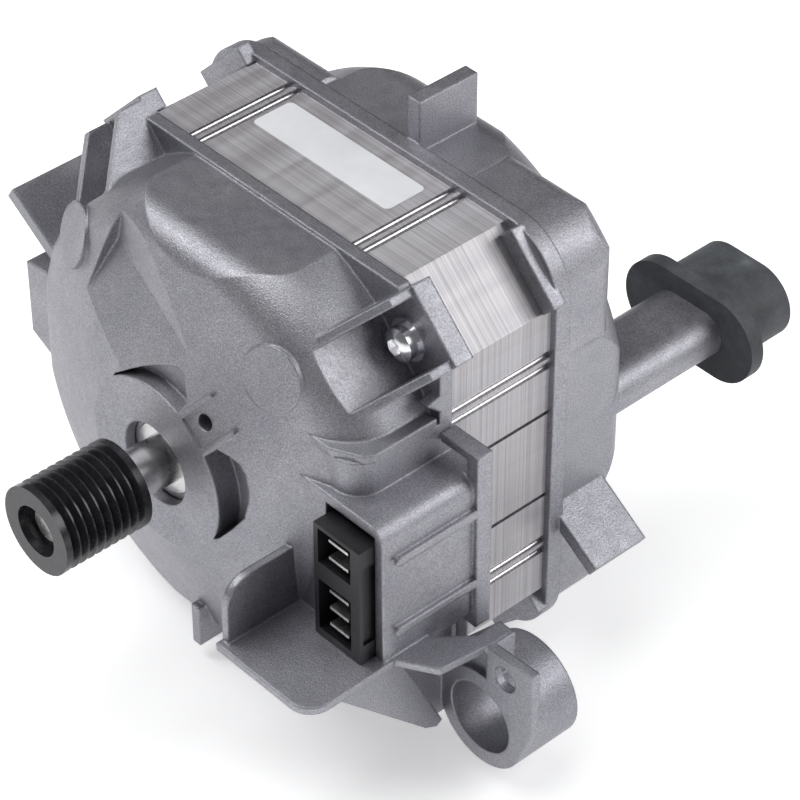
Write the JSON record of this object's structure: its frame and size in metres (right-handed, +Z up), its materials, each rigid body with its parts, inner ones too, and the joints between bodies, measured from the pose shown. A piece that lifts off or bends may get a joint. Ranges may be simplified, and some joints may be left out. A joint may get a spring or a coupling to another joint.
{
  "type": "washing machine motor",
  "caption": "Brushless belt-drive washing machine motor with ribbed pulley, two cast end covers, square laminated stator, plug hood, mounting eye and rubber-bushed rear arm.",
  "frame": {"origin": "centre of the pulley's front face, on the shaft axis", "axes": "+Y along the shaft from the pulley to the rear arm, +Z up, +X to the right seen from the pulley end"},
  "size_m": [0.1678, 0.182, 0.1328],
  "materials": {
    "cast_aluminium": "as-cast, fine blasted grain",
    "lamination_steel": "stacked sheet edges",
    "rotor_steel": "stacked sheet edges",
    "bright_steel": "ground",
    "pressed_steel": "pressed sheet",
    "zinc_steel": "zinc plated",
    "tinned_brass": "tin plated",
    "black_plastic": "moulded",
    "black_steel": "blackened, oiled",
    "white_plastic": "moulded",
    "copper_wire": "varnished winding",
    "magnet": "sintered, coated",
    "black_rubber": "moulded, dusty"
  },
  "bodies": {
    "housing": {"front_cover": "cast_aluminium", "rear_cover": "cast_aluminium", "stator_core": "lamination_steel", "front_insulator": "white_plastic", "rear_insulator": "white_plastic", "phase_u_winding": "copper_wire", "phase_v_winding": "copper_wire", "phase_w_winding": "copper_wire", "thermal_protector": "black_plastic", "connector_block": "black_plastic", "connector_blades": "tinned_brass", "corner_screws": "zinc_steel", "rubber_bush": "black_rubber", "front_bearing_outer_ring": "bright_steel", "front_bearing_shields": "pressed_steel", "rear_bearing_outer_ring": "bright_steel", "rear_bearing_shields": "pressed_steel", "wave_washer": "pressed_steel"},
    "rotor": {"pulley": "black_steel", "rotor_shaft": "bright_steel", "rotor_core": "rotor_steel", "rotor_magnets": "magnet", "rotor_end_plates": "rotor_steel", "front_bearing_inner_ring": "bright_steel", "rear_bearing_inner_ring": "bright_steel"},
    "front_ball_set": {"front_bearing_cage": "pressed_steel", "front_bearing_balls": "bright_steel"},
    "rear_ball_set": {"rear_bearing_cage": "pressed_steel", "rear_bearing_balls": "bright_steel"}
  },
  "joints": [
    {"name": "rotor_spin", "type": "hinge", "parent": "housing", "child": "rotor", "pos_m": [0, 0, 0], "axis": [0, 1, 0], "continuous": true},
    {"name": "front_ball_set_spin", "type": "hinge", "parent": "housing", "child": "front_ball_set", "pos_m": [0, 0.0422, 0], "axis": [0, 1, 0], "continuous": true},
    {"name": "rear_ball_set_spin", "type": "hinge", "parent": "housing", "child": "rear_ball_set", "pos_m": [0, 0.1271, 0], "axis": [0, 1, 0], "continuous": true}
  ],
  "couplings": [
    {"joint": "front_ball_set_spin", "follows": "rotor_spin", "ratio": 0.36591},
    {"joint": "rear_ball_set_spin", "follows": "rotor_spin", "ratio": 0.36591}
  ]
}
